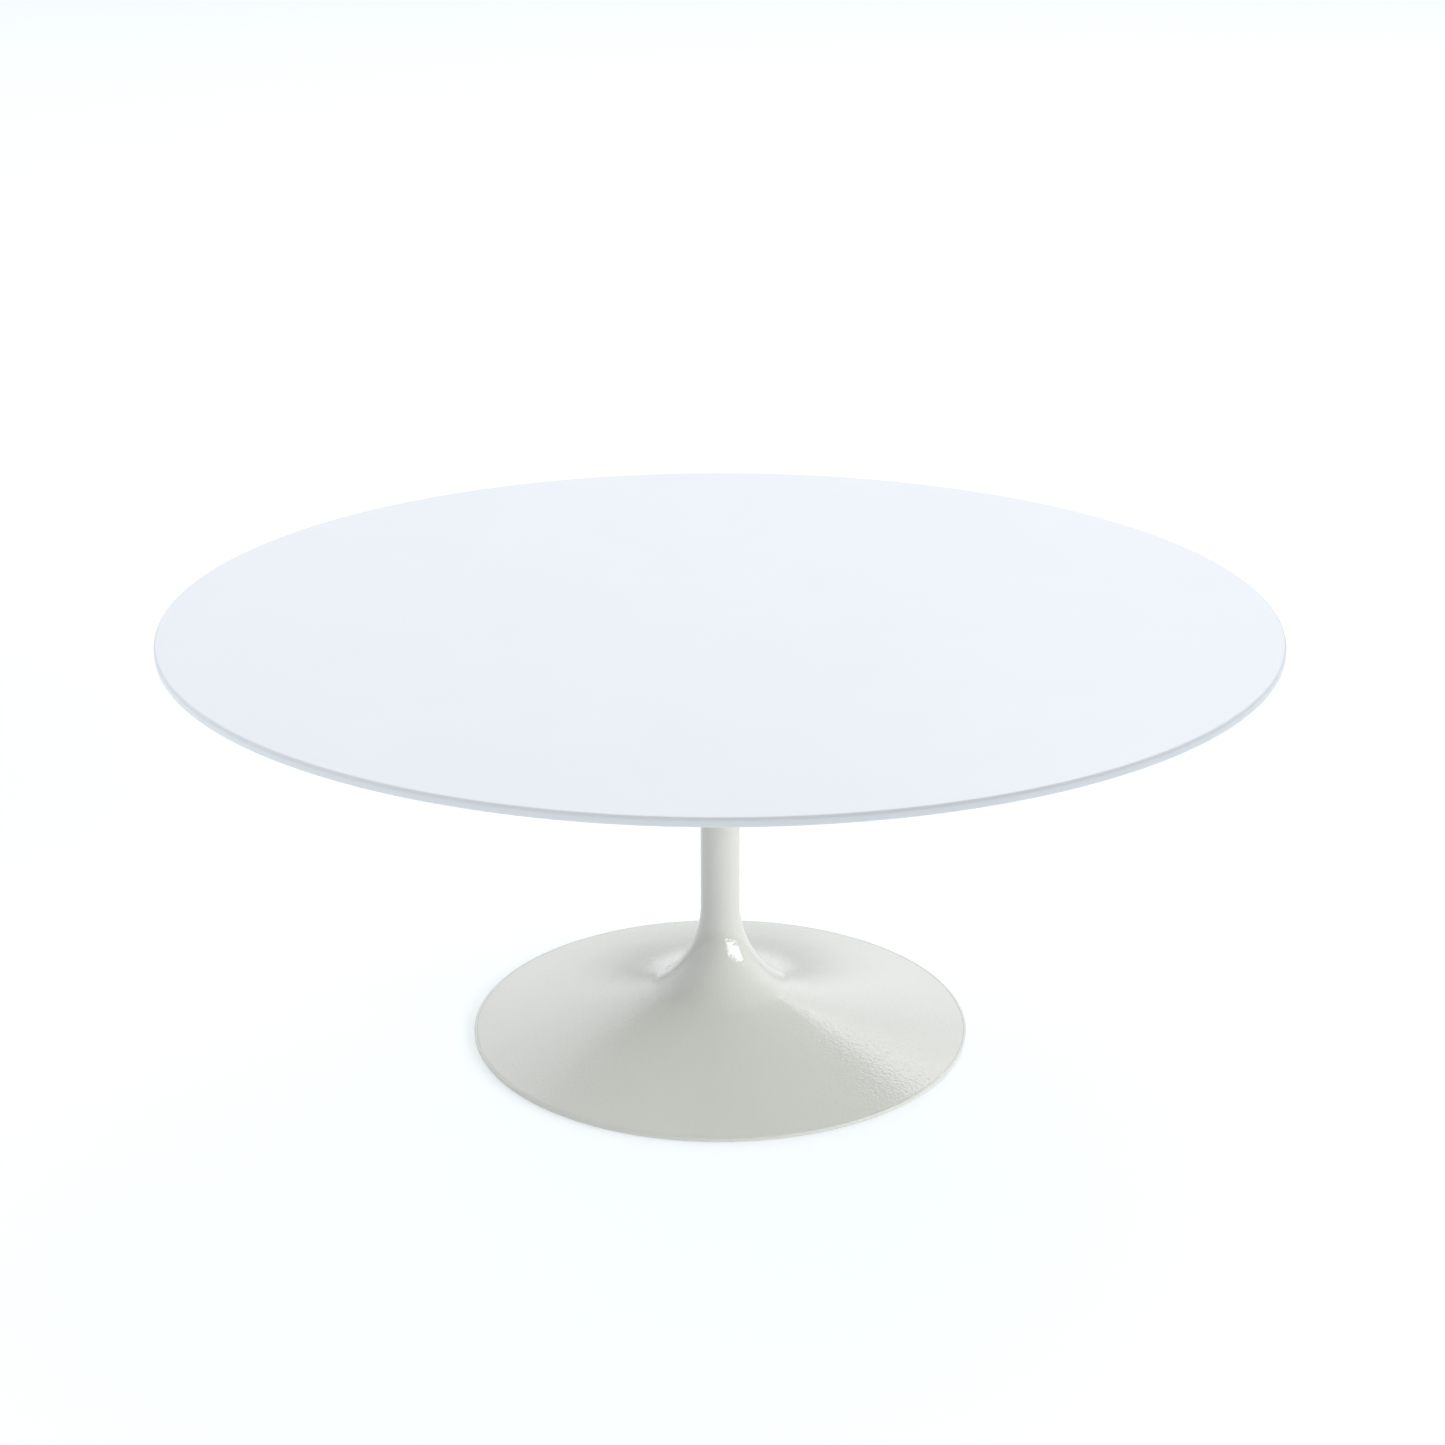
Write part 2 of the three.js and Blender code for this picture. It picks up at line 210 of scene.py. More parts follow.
def turned(outline, facets, closed=False, at=(0, 0)):
    """Draws a ring up an outline of (radius, height) points, scaling it at each step.
    A closed outline is bridged back to its first ring, and any other is closed at both ends."""
    object_mode()
    first_radius, first_height = outline[0]
    place = (at[0], at[1], first_height)
    bpy.ops.mesh.primitive_circle_add(vertices=facets, radius=first_radius, location=place)
    piece = bpy.context.object
    bpy.ops.object.mode_set(mode="EDIT")
    bpy.ops.mesh.select_all(action="SELECT")
    for (radius, height), (next_radius, next_height) in zip(outline, outline[1:]):
        growth = next_radius / radius
        extrude((0, 0, next_height - height))
        if not math.isclose(growth, 1):
            centre = (at[0], at[1], next_height)
            bpy.ops.transform.resize(value=(growth, growth, 1), center_override=centre)
    if closed:
        bpy.ops.mesh.select_all(action="DESELECT")
        bpy.ops.mesh.select_non_manifold()
        bpy.ops.mesh.bridge_edge_loops()
    else:
        close_ring()
        bpy.ops.mesh.select_all(action="DESELECT")
        bpy.ops.mesh.select_non_manifold()
        close_ring()
    bpy.ops.mesh.select_all(action="SELECT")
    bpy.ops.mesh.normals_make_consistent(inside=False)
    object_mode()
    return piece


def bar(radius, low, high, at=(0, 0), facets=SMALL_FACETS):
    """A round bar, used to drill a hole or to add a boss."""
    object_mode()
    place = (at[0], at[1], (low + high) / 2)
    bpy.ops.mesh.primitive_cylinder_add(
        vertices=facets, radius=radius, depth=high - low, location=place
    )
    return bpy.context.object


def block(low, high, turn=0):
    """A box by its lowest and highest corners, turned about the origin."""
    object_mode()
    middle = [(a + b) / 2 for a, b in zip(low, high)]
    bpy.ops.mesh.primitive_cube_add(size=1, location=middle)
    piece = bpy.context.object
    piece.scale = [b - a for a, b in zip(low, high)]
    bpy.ops.object.transform_apply(location=True, rotation=True, scale=True)
    piece.data.transform(Matrix.Rotation(turn, 4, "Z"))
    return piece


def combine(piece, tools, operation):
    """Cuts, joins or intersects a piece with tools, which are used up."""
    for tool in tools:
        make_active(piece)
        modifier = piece.modifiers.new("combine", "BOOLEAN")
        modifier.operation = operation
        modifier.solver = "EXACT"
        modifier.object = tool
        bpy.ops.object.modifier_apply(modifier=modifier.name)
        bpy.data.objects.remove(tool)
    return piece


def bevel_edges(piece, width):
    """Rounds every sharp edge."""
    make_active(piece)
    modifier = piece.modifiers.new("round", "BEVEL")
    modifier.width = width
    modifier.segments = ROUNDING_SEGMENTS
    modifier.limit_method = "ANGLE"
    modifier.angle_limit = math.radians(SHARP_ANGLE)
    bpy.ops.object.modifier_apply(modifier=modifier.name)
    return piece


def arc(radius_centre, height_centre, size, start, end, steps):
    """Points of an arc in an outline, with angles in degrees from outwards."""
    angles = [math.radians(start + (end - start) * i / steps) for i in range(steps + 1)]
    return [
        (radius_centre + size * math.cos(a), height_centre + size * math.sin(a)) for a in angles
    ]


def curve(start, start_pull, end_pull, end, steps):
    """Points of a cubic curve in an outline, without its first point."""
    corners = [Vector(p) for p in (start, start_pull, end_pull, end)]
    points = []
    for i in range(1, steps + 1):
        t = i / steps
        weights = ((1 - t) ** 3, 3 * t * (1 - t) ** 2, 3 * t * t * (1 - t), t**3)
        point = sum((w * c for w, c in zip(weights, corners)), Vector((0, 0)))
        points.append((point.x, point.y))
    return points


def hexagon_corner(across_flats):
    """How far a hexagon's corners are from its middle."""
    return across_flats / 2 / math.cos(math.radians(30))


def spread(start, end, steps):
    """Evenly spaced values, both ends included."""
    return [start + (end - start) * i / steps for i in range(steps + 1)]


def middle_of(node):
    """Where a CAD node's middle is, seen from above."""
    low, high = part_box(node)
    return ((low.x + high.x) / 2, (low.y + high.y) / 2)


def copy_of(piece, name, move=(0, 0, 0), turn=0):
    """A copy with a mesh of its own, turned about the origin and moved."""
    twin = piece.copy()
    twin.data = piece.data.copy()
    twin.data.transform(Matrix.Translation(Vector(move)) @ Matrix.Rotation(turn, 4, "Z"))
    twin.name = name
    twin.data.name = name
    bpy.context.scene.collection.objects.link(twin)
    return twin


# One tooth of a thread, drawn up from its root: shares of the depth outwards and of the pitch up
THREAD_TOOTH = ((0, 0.125), (1, 0.3125), (0, 0.125), (-1, 0.3125), (0, 0.125))


def thread(radius, pitch, low, high, depth=None, facets=SMALL_FACETS):
    """A bar with a real screw thread. A tooth drawn from one point is wound past both ends,
    and the ends are cut flat."""
    object_mode()
    depth = depth or THREAD_DEPTH_SHARE * pitch
    start = (radius - depth, 0, low - THREAD_SPARE_TURNS / 2 * pitch)
    bpy.ops.mesh.primitive_plane_add(size=pitch, location=start)
    piece = bpy.context.object
    bpy.ops.object.transform_apply(location=True, rotation=True, scale=True)
    bpy.ops.object.mode_set(mode="EDIT")
    bpy.ops.mesh.select_all(action="SELECT")
    bpy.ops.mesh.merge(type="CENTER")
    for outward, upward in THREAD_TOOTH:
        extrude((outward * depth, 0, upward * pitch))
    object_mode()
    make_active(piece)
    winding = piece.modifiers.new("wind", "SCREW")
    winding.axis = "Z"
    winding.angle = math.tau
    winding.screw_offset = pitch
    winding.iterations = math.ceil((high - low) / pitch) + THREAD_SPARE_TURNS
    winding.steps = facets
    winding.render_steps = facets
    winding.use_merge_vertices = True
    winding.merge_threshold = WINDING_MERGE_DISTANCE
    bpy.ops.object.modifier_apply(modifier=winding.name)
    bpy.ops.object.mode_set(mode="EDIT")
    for height, end in ((low, {"clear_inner": True}), (high, {"clear_outer": True})):
        bpy.ops.mesh.select_all(action="SELECT")
        bpy.ops.mesh.bisect(plane_co=(0, 0, height), plane_no=(0, 0, 1), use_fill=True, **end)
    bpy.ops.mesh.select_all(action="SELECT")
    bpy.ops.mesh.remove_doubles(threshold=MERGE_DISTANCE)
    bpy.ops.mesh.normals_make_consistent(inside=False)
    object_mode()
    return piece


# ---- Materials -----------------------------------------------------------


def linear(hex_code):
    """An sRGB hex colour as linear red, green, blue and alpha."""
    channels = [int(hex_code[i : i + 2], 16) / 255 for i in (1, 3, 5)]
    return [c / 12.92 if c <= 0.04045 else ((c + 0.055) / 1.055) ** 2.4 for c in channels] + [1]


def add_node(tree, kind, sockets=None, **settings):
    """Adds a node, sets its settings, and sets or links each of its sockets."""
    made = tree.nodes.new(kind)
    for name, value in settings.items():
        setattr(made, name, value)
    for name, value in (sockets or {}).items():
        if isinstance(value, bpy.types.NodeSocket):
            tree.links.new(value, made.inputs[name])
        else:
            made.inputs[name].default_value = value
    return made


def per_metre(millimetres):
    """The texture scale whose pattern repeats about every so many millimetres."""
    return 1000 / millimetres


# A wave texture's bands repeat every tau / 20 of a unit at scale 1
WAVE_SHARE = math.tau / 20


def empty_material(name):
    """A new material, its empty node tree and the object's coordinates."""
    material = bpy.data.materials.new(name)
    material.use_nodes = True
    material.node_tree.nodes.clear()
    tree = material.node_tree
    return material, tree, add_node(tree, "ShaderNodeTexCoord").outputs["Object"]


def noise(tree, where, millimetres, **sockets):
    """Soft noise with patches about so many millimetres across."""
    sockets = {"Vector": where, "Scale": per_metre(millimetres), **sockets}
    return add_node(tree, "ShaderNodeTexNoise", sockets).outputs["Fac"]


def tone(tree, factor, first, second):
    """A colour that drifts between two tones."""
    sockets = {"Factor": factor, "A": linear(first), "B": linear(second)}
    return add_node(tree, "ShaderNodeMix", sockets, data_type="RGBA").outputs["Result"]


def drift(tree, factor, low, high):
    """A value that drifts between two others."""
    sockets = {"Value": factor, "To Min": low, "To Max": high}
    return add_node(tree, "ShaderNodeMapRange", sockets).outputs["Result"]


def bump(tree, height, depth, **sockets):
    """The way that a surface faces, once it has bumps of a depth in metres."""
    sockets = {"Height": height, "Distance": depth, **sockets}
    return add_node(tree, "ShaderNodeBump", sockets).outputs["Normal"]


def cover(tree, sockets):
    """Ends a material's tree with a principled shader that has these sockets."""
    shader = add_node(tree, "ShaderNodeBsdfPrincipled", sockets)
    add_node(tree, "ShaderNodeOutputMaterial", {"Surface": shader.outputs["BSDF"]})


def lacquer_material():
    """Sprayed satin polyurethane lacquer on board: a cool, even white whose sheen softens
    every reflection and drifts a little from place to place."""
    material, tree, where = empty_material("satin_polyurethane_lacquer")
    cloud = noise(tree, where, 240)
    sheen = noise(tree, where, 55)
    look = {
        "Base Color": tone(tree, cloud, "#EBEFF2", "#E8ECEF"),
        # A roughness that crosses 0.27 would leave outlines in a denoised render
        "Roughness": drift(tree, sheen, 0.30, 0.36),
        "IOR": 1.5,
    }
    cover(tree, look)
    return material


def primer_material():
    """Sealing primer on the board's hidden underside: flatter and a little greyer than the
    lacquer, with a dry, slightly nibbed surface."""
    material, tree, where = empty_material("sealing_primer")
    patches = noise(tree, where, 35, Detail=4.0)
    nibs = noise(tree, where, 1.4, Detail=3.0)
    look = {
        "Base Color": tone(tree, patches, "#D6D6CC", "#CFCFC5"),
        "Roughness": 0.62,
        "IOR": 1.48,
        "Normal": bump(tree, nibs, 0.00002),
    }
    cover(tree, look)
    return material


def powder_coat_material():
    """Gloss polyester powder coat baked on a casting: warm off-white, with the orange peel
    about 3 mm across that breaks up the edge of each reflection."""
    material, tree, where = empty_material("gloss_powder_coat")
    cloud = noise(tree, where, 90)
    gloss = noise(tree, where, 40)
    flow = noise(tree, where, 26, Detail=0.0)
    peel = noise(tree, where, 3, Detail=1.0)
    flow_bump = bump(tree, flow, 0.00010)
    look = {
        "Base Color": tone(tree, cloud, "#D2D2CC", "#CDCDC7"),
        "Roughness": drift(tree, gloss, 0.06, 0.10),
        "IOR": 1.55,
        "Normal": bump(tree, peel, 0.00020, Normal=flow_bump),
    }
    cover(tree, look)
    return material


def zinc_material():
    """Bright zinc plating with a clear passivate: blue-grey metal with faint straw-coloured
    patches and the fine drag marks of the tumbler."""
    material, tree, where = empty_material("passivated_zinc_plate")
    patches = noise(tree, where, 6, Detail=3.0)
    drag = noise(tree, where, 0.6, Detail=4.0, Roughness=0.7)
    look = {
        "Base Color": tone(tree, patches, "#B7BDC4", "#C2BFB2"),
        "Metallic": 1.0,
        "Roughness": drift(tree, drag, 0.22, 0.42),
        "Normal": bump(tree, drag, 0.000006),
    }
    cover(tree, look)
    return material


def brass_material():
    """Free-cutting brass as it comes off the lathe: warm yellow, with turning marks half a
    millimetre apart that run round the axis."""
    material, tree, where = empty_material("turned_brass")
    patches = noise(tree, where, 5, Detail=3.0)
    marks = add_node(
        tree,
        "ShaderNodeTexWave",
        {"Vector": where, "Scale": per_metre(0.5) * WAVE_SHARE, "Distortion": 0.6},
        bands_direction="Z",
    )
    look = {
        "Base Color": tone(tree, patches, "#C8A55A", "#B8934A"),
        "Metallic": 1.0,
        "Roughness": 0.3,
        "Normal": bump(tree, marks.outputs["Fac"], 0.000008),
    }
    cover(tree, look)
    return material


def nylon_material():
    """Natural nylon from the mould: milky, slightly see-through at its edges, with a soft
    spark-eroded texture that dulls its shine."""
    material, tree, where = empty_material("moulded_nylon")
    patches = noise(tree, where, 8, Detail=3.0)
    spark = noise(tree, where, 0.5, Detail=3.0)
    look = {
        "Base Color": tone(tree, patches, "#E6E3D8", "#DEDACC"),
        "Roughness": 0.5,
        "IOR": 1.53,
        "Subsurface Weight": 0.15,
        "Subsurface Radius": (0.004, 0.003, 0.002),
        "Subsurface Scale": 0.5,
        "Normal": bump(tree, spark, 0.000012),
    }
    cover(tree, look)
    return material


lacquer = lacquer_material()
primer = primer_material()
powder_coat = powder_coat_material()
zinc = zinc_material()
brass = brass_material()
nylon = nylon_material()


def dress(piece, material, slot, body, *nodes):
    """Gives a finished piece its material, its body and the CAD nodes that it stands for."""
    piece.data.materials.clear()
    piece.data.materials.append(material)
    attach(piece, body)
    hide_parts(*nodes)


# ---- Board ---------------------------------------------------------------

SCREW_NODES, INSERT_NODES, PAD_NODES, STUD_NODES = (
    sorted(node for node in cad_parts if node.startswith(start))
    for start in ("plate_screw", "threaded_insert", "glide_pad", "glide_stud")
)
screw_places = [middle_of(n) for n in SCREW_NODES]
glide_places = [middle_of(n) for n in PAD_NODES]


def board_piece():
    """The board: a flat top, a rounded upright edge and a wide bevel beneath."""
    edge_bottom = BOARD_TOP - BOARD_EDGE
    bevel_end = BOARD_RADIUS - BOARD_BEVEL_WIDTH
    slope = (BOARD_TOP - BOARD_UNDERSIDE - BOARD_EDGE) / BOARD_BEVEL_WIDTH
    bevel_angle = math.degrees(math.atan(slope))
    lower_centre = (BOARD_RADIUS - BOARD_LOWER_ROUND, edge_bottom + BOARD_LOWER_ROUND)
    upper_centre = (BOARD_RADIUS - BOARD_UPPER_ROUND, BOARD_TOP - BOARD_UPPER_ROUND)
    bevel_start = (bevel_end - BOARD_BEVEL_ROUND, BOARD_UNDERSIDE)
    bevel_pull = (bevel_end, BOARD_UNDERSIDE)
    bevel_up = (
        bevel_end + BOARD_BEVEL_ROUND,
        BOARD_UNDERSIDE + slope * BOARD_BEVEL_ROUND,
    )
    lower_arc = arc(*lower_centre, BOARD_LOWER_ROUND, bevel_angle - 90, 0, 5)
    upper_arc = arc(*upper_centre, BOARD_UPPER_ROUND, 0, 90, 9)
    outline = [(r, BOARD_UNDERSIDE) for r in BOARD_RINGS]
    outline += [(bevel_start[0] - FLAT_MARGIN, BOARD_UNDERSIDE), bevel_start]
    outline += curve(bevel_start, bevel_pull, bevel_pull, bevel_up, 6)
    outline += [
        (bevel_up[0] + FLAT_MARGIN, bevel_up[1] + slope * FLAT_MARGIN),
        (lower_arc[0][0] - FLAT_MARGIN, lower_arc[0][1] - slope * FLAT_MARGIN),
    ]
    outline += lower_arc + upper_arc
    outline += [(upper_arc[-1][0] - FLAT_MARGIN, BOARD_TOP), (BOARD_OUTER_RING, BOARD_TOP)]
    outline += [(r, BOARD_TOP) for r in reversed(BOARD_RINGS)]
    board = turned(outline, BOARD_FACETS)
    pocket_radius = (insert_high.x - insert_low.x) / 2 + SEAT_GAP
    pocket_top = insert_high.z + POCKET_SPARE
    pockets = [
        bar(pocket_radius, BOARD_UNDERSIDE - PAST, pocket_top, at=place)
        for place in screw_places
    ]
    return finish_piece(combine(board, pockets, "DIFFERENCE"), "board")


board = board_piece()
dress(board, lacquer, "lacquered_board", "frame", "table_top")
board.data.materials.append(primer)

# The primer is on the flat underside and in the pockets
FLAT_BAND = 0.001
FACING_DOWN = -0.9
POCKET_BAND = 0.014
POCKET_REACH = 0.14
for face in board.data.polygons:
    height = face.center.z - BOARD_UNDERSIDE
    flat = height < FLAT_BAND and face.normal.z < FACING_DOWN
    pocket = height < POCKET_BAND and face.center.xy.length < POCKET_REACH
    if flat or pocket:
        face.material_index = 1

# ---- Casting -------------------------------------------------------------


def foot_height(radius):
    """Height of the foot's upper face at a distance from the axis."""
    return RIM_TOP + FOOT_RISE * math.log(FOOT_RADIUS / radius)


neck_foot = (NECK_FOOT_RADIUS, foot_height(NECK_FOOT_RADIUS))
neck_top = (STEM_RADIUS, neck_foot[1] + NECK_RISE)
seat_height = clamp_high.z + SEAT_GAP
boss_bottom = pad_high.z + SEAT_GAP


def casting_outside():
    """Everything outside: rim, foot, neck, stem and the flare under the plate."""
    slope = FOOT_RISE / NECK_FOOT_RADIUS
    rim_centre = FOOT_RADIUS - RIM_ROUND
    upper_round = (rim_centre, foot_height(rim_centre) - RIM_ROUND)
    lower_round = (rim_centre, RIM_BOTTOM + RIM_ROUND)
    groove_middle = FOOT_RADIUS - RIM_GROOVE_INSET
    groove_outer = groove_middle + RIM_GROOVE_WIDTH / 2
    groove_inner = groove_middle - RIM_GROOVE_WIDTH / 2
    disc = [
        (groove_outer, foot_height(groove_outer)),
        (groove_middle, foot_height(groove_middle) - RIM_GROOVE_DEPTH),
    ]
    radii = spread(groove_inner, NECK_FOOT_RADIUS, DISC_STEPS)
    disc += [(r, foot_height(r)) for r in radii]
    neck_foot_pull = (neck_foot[0] - NECK_FOOT_PULL, neck_foot[1] + slope * NECK_FOOT_PULL)
    neck_stem_pull = (STEM_RADIUS, neck_top[1] - NECK_STEM_PULL)
    flare_start = (STEM_RADIUS, CASTING_TOP - FLARE_HEIGHT)
    flange_bottom = CASTING_TOP - FLANGE_THICKNESS
    flare_end = (FLARE_RADIUS - FLANGE_ROUND, flange_bottom)
    flange_centre = (FLARE_RADIUS - FLANGE_ROUND, flange_bottom + FLANGE_ROUND)
    top_round_centre = (FLARE_RADIUS - FLANGE_ROUND / 2, CASTING_TOP - FLANGE_ROUND / 2)
    outline = [(r, RIM_BOTTOM) for r in FOOT_RINGS]
    outline += arc(*lower_round, RIM_ROUND, -90, 0, 5)
    outline += arc(*upper_round, RIM_ROUND, 0, 90, 5)
    outline += disc
    outline += curve(neck_foot, neck_foot_pull, neck_stem_pull, neck_top, NECK_STEPS)
    heights = spread(neck_top[1], flare_start[1], STEM_STEPS)
    outline += [(STEM_RADIUS, height) for height in heights[1:]]
    outline += curve(
        flare_start,
        (STEM_RADIUS, flare_start[1] + FLARE_STEM_PULL),
        (FLARE_RADIUS - FLARE_PLATE_PULL, flange_bottom),
        flare_end,
        FLARE_STEPS,
    )
    outline += arc(*flange_centre, FLANGE_ROUND, -90, 0, 5)[1:]
    outline += arc(*top_round_centre, FLANGE_ROUND / 2, 0, 90, 4)
    outline += [(FLANGE_RING, CASTING_TOP)]
    return turned(outline, FOOT_FACETS)


def foot_hollow():
    """The hollow under the foot, less its ribs and glide bosses."""
    mouth = FOOT_RADIUS * math.exp((RIM_TOP - FOOT_WALL - RIM_BOTTOM) / FOOT_RISE)
    radii = spread(mouth, NECK_FOOT_RADIUS, CEILING_STEPS)
    ceiling = [(r, foot_height(r) - FOOT_WALL) for r in radii]
    below = RIM_BOTTOM - PAST
    inward, up = CHEEK_WALL_PULL
    wall_pull = (NECK_FOOT_RADIUS - inward, ceiling[-1][1] + up)
    outward, down = CHEEK_SEAT_PULL
    seat_pull = (SEAT_RADIUS + outward, seat_height - down)
    seat_edge = (SEAT_RADIUS, seat_height)
    outline = [(HOLLOW_RING, below), (mouth, below)] + ceiling
    outline += curve(ceiling[-1], wall_pull, seat_pull, seat_edge, CHEEK_STEPS)
    outline += [(SEAT_RING, seat_height)]
    hollow = turned(outline, HOLLOW_FACETS)
    tools = []
    for x, y in glide_places:
        rib = block(
            (SEAT_RADIUS - RIB_OVERLAP, -RIB_THICKNESS / 2, RIB_BOTTOM),
            (math.hypot(x, y), RIB_THICKNESS / 2, seat_height + RIB_OVERLAP),
        )
        bevel_edges(rib, RIB_ROUND)
        rib.data.transform(Matrix.Rotation(math.atan2(y, x), 4, "Z"))
        tools.append(rib)
        boss = bar(BOSS_RADIUS, boss_bottom, seat_height, at=(x, y))
        bevel_edges(boss, BOSS_ROUND)
        tools.append(boss)
    return combine(hollow, tools, "DIFFERENCE")


def casting_piece():
    """The whole casting with its hollow, bore and threaded holes cut out."""
    rod_hole_top = plate_low.z - HUB_CLEARANCE
    glide_hole_top = stud_high.z + GLIDE_HOLE_SPARE
    cutters = foot_hollow()
    bores = [
        bar(ROD_HOLE_RADIUS, seat_height - PAST, rod_hole_top),
        bar(BORE_RADIUS, neck_top[1], CASTING_TOP + PAST),
    ]
    combine(cutters, bores, "UNION")
    casting = combine(casting_outside(), [cutters], "DIFFERENCE")
    holes = [
        bar(GLIDE_HOLE_RADIUS, boss_bottom - PAST, glide_hole_top, at=place)
        for place in glide_places
    ]
    combine(casting, holes, "DIFFERENCE")
    return finish_piece(casting, "casting")


casting = casting_piece()
dress(casting, powder_coat, "powder_coat", "frame", "pedestal")

# ---- Mounting plate ------------------------------------------------------


def plate_piece():
    """The steel plate under the board, with the hub welded beneath it."""
    plate_radius = plate_high.x
    bottom = plate_high.z - PLATE_THICKNESS
    outward, down = WELD_RELIEF
    hub_round = (HUB_RADIUS - HUB_ROUND, plate_low.z + HUB_ROUND)
    lower_round = (plate_radius - PLATE_ROUND, bottom + PLATE_ROUND)
    upper_round = (plate_radius - PLATE_ROUND, plate_high.z - PLATE_ROUND)
    outline = [(HUB_RING, plate_low.z)]
    outline += arc(*hub_round, HUB_ROUND, -90, 0, 4)
    outline += [(HUB_RADIUS, bottom - down), (HUB_RADIUS + outward, bottom)]
    outline += [(r, bottom) for r in (HUB_RADIUS + WELD_WIDTH, *PLATE_UNDER_RINGS)]
    outline += arc(*lower_round, PLATE_ROUND, -90, 0, 4)
    outline += arc(*upper_round, PLATE_ROUND, 0, 90, 4)
    outline += [(PLATE_UPPER_RING, plate_high.z)]
    plate = turned(outline, PLATE_FACETS)
    above = plate_high.z + PAST
    holes = [bar(ROD_RADIUS + THREAD_GAP, plate_low.z - PAST, above)]
    holes += [bar(SCREW_HOLE_RADIUS, bottom - PAST, above, at=place) for place in screw_places]
    return finish_piece(combine(plate, holes, "DIFFERENCE"), "plate_and_hub")


plate = plate_piece()
dress(plate, powder_coat, "powder_coat", "frame", "mounting_plate")

# ---- Tie rod, washers and nut --------------------------------------------

ROD_CHAMFER = 0.0012
ROD_THREAD_LENGTH = 0.036
WASHER_EDGE = 0.0003
SPRING_SPLIT = 0.0015
SPRING_CUT_REACH = 0.004  # up and down from the washer's middle
SPRING_SLANT = 35  # degrees from upright
NUT_ACROSS_FLATS = 0.019
NUT_CHAMFER = 0.0014
NUT_CHAMFER_SLOPE = 0.58
NUT_FACE_INSET = 0.0003
NUT_COUNTERSINK = 0.0009


def rod_piece():
    """The tie rod: plain between its two threaded ends, each with a lead-in chamfer."""
    join = 0.001
    lower_end = rod_low.z + ROD_THREAD_LENGTH
    upper_end = rod_high.z - ROD_THREAD_LENGTH
    rod = thread(ROD_RADIUS, ROD_PITCH, rod_low.z, lower_end)
    upper = thread(ROD_RADIUS, ROD_PITCH, upper_end, rod_high.z)
    shank = bar(ROD_RADIUS, lower_end - join, upper_end + join)
    combine(rod, [shank, upper], "UNION")
    outside = ROD_RADIUS + PAST
    lead_in = ROD_RADIUS - ROD_CHAMFER
    rise = PAST + ROD_CHAMFER
    envelope = turned(
        [
            (lead_in, rod_low.z),
            (outside, rod_low.z + rise),
            (outside, rod_high.z - rise),
            (lead_in, rod_high.z),
        ],
        SMALL_FACETS,
    )
    return finish_piece(combine(rod, [envelope], "INTERSECT"), "rod")


def washer_outline(hole, radius, low, high):
    """The section of a flat washer with its edges just broken."""
    edge = WASHER_EDGE
    return [
        (hole, low + edge),
        (hole + edge, low),
        (radius - edge, low),
        (radius, low + edge),
        (radius, high - edge),
        (radius - edge, high),
        (hole + edge, high),
        (hole, high - edge),
    ]


def clamp_washer_piece():
    """The heavy washer that seats against the casting."""
    outline = washer_outline(ROD_HOLE_RADIUS, clamp_high.x, clamp_low.z, clamp_high.z)
    return finish_piece(turned(outline, PLATE_FACETS, closed=True), "heavy_washer")


def spring_washer_piece():
    """The spring washer, pressed flat, with its slanted split."""
    outline = washer_outline(ROD_HOLE_RADIUS, spring_high.y, spring_low.z, spring_high.z)
    ring = turned(outline, PLATE_FACETS, closed=True)
    middle_height = (spring_low.z + spring_high.z) / 2
    split = block(
        (0, -SPRING_SPLIT / 2, -SPRING_CUT_REACH),
        (spring_high.y + PAST, SPRING_SPLIT / 2, SPRING_CUT_REACH),
    )
    split.data.transform(Matrix.Rotation(math.radians(SPRING_SLANT), 4, "X"))
    split.data.transform(Matrix.Translation((0, 0, middle_height)))
    return finish_piece(combine(ring, [split], "DIFFERENCE"), "split_washer")


def nut_piece():
    """The clamp nut: a hexagon with its corners turned off at both faces."""
    hexagon = bar(hexagon_corner(NUT_ACROSS_FLATS), nut_low.z, nut_high.z, facets=6)
    face = NUT_ACROSS_FLATS / 2 - NUT_FACE_INSET
    drop = NUT_CHAMFER * NUT_CHAMFER_SLOPE
    rounding = turned(
        [
            (face, nut_low.z),
            (face + NUT_CHAMFER, nut_low.z + drop),
            (face + NUT_CHAMFER, nut_high.z - drop),
            (face, nut_high.z),
        ],
        PLATE_FACETS,
    )
    combine(hexagon, [rounding], "INTERSECT")
    bore = ROD_RADIUS + THREAD_GAP
    mouth = bore + NUT_COUNTERSINK + PAST
    hole = turned(
        [
            (mouth, nut_low.z - PAST),
            (bore, nut_low.z + NUT_COUNTERSINK),
            (bore, nut_high.z - NUT_COUNTERSINK),
            (mouth, nut_high.z + PAST),
        ],
        SMALL_FACETS,
    )
    return finish_piece(combine(hexagon, [hole], "DIFFERENCE"), "hexagon_nut", NUT_SMOOTH_ANGLE)


rod = rod_piece()
heavy_washer = clamp_washer_piece()
split_washer = spring_washer_piece()
hexagon_nut = nut_piece()
dress(rod, zinc, "zinc_steel", "frame", "tie_rod")
dress(heavy_washer, zinc, "zinc_steel", "frame", "clamp_washer")
dress(split_washer, zinc, "zinc_steel", "frame", "spring_washer")
dress(hexagon_nut, zinc, "zinc_steel", "frame", "clamp_nut")

# ---- Plate screws and threaded inserts -----------------------------------

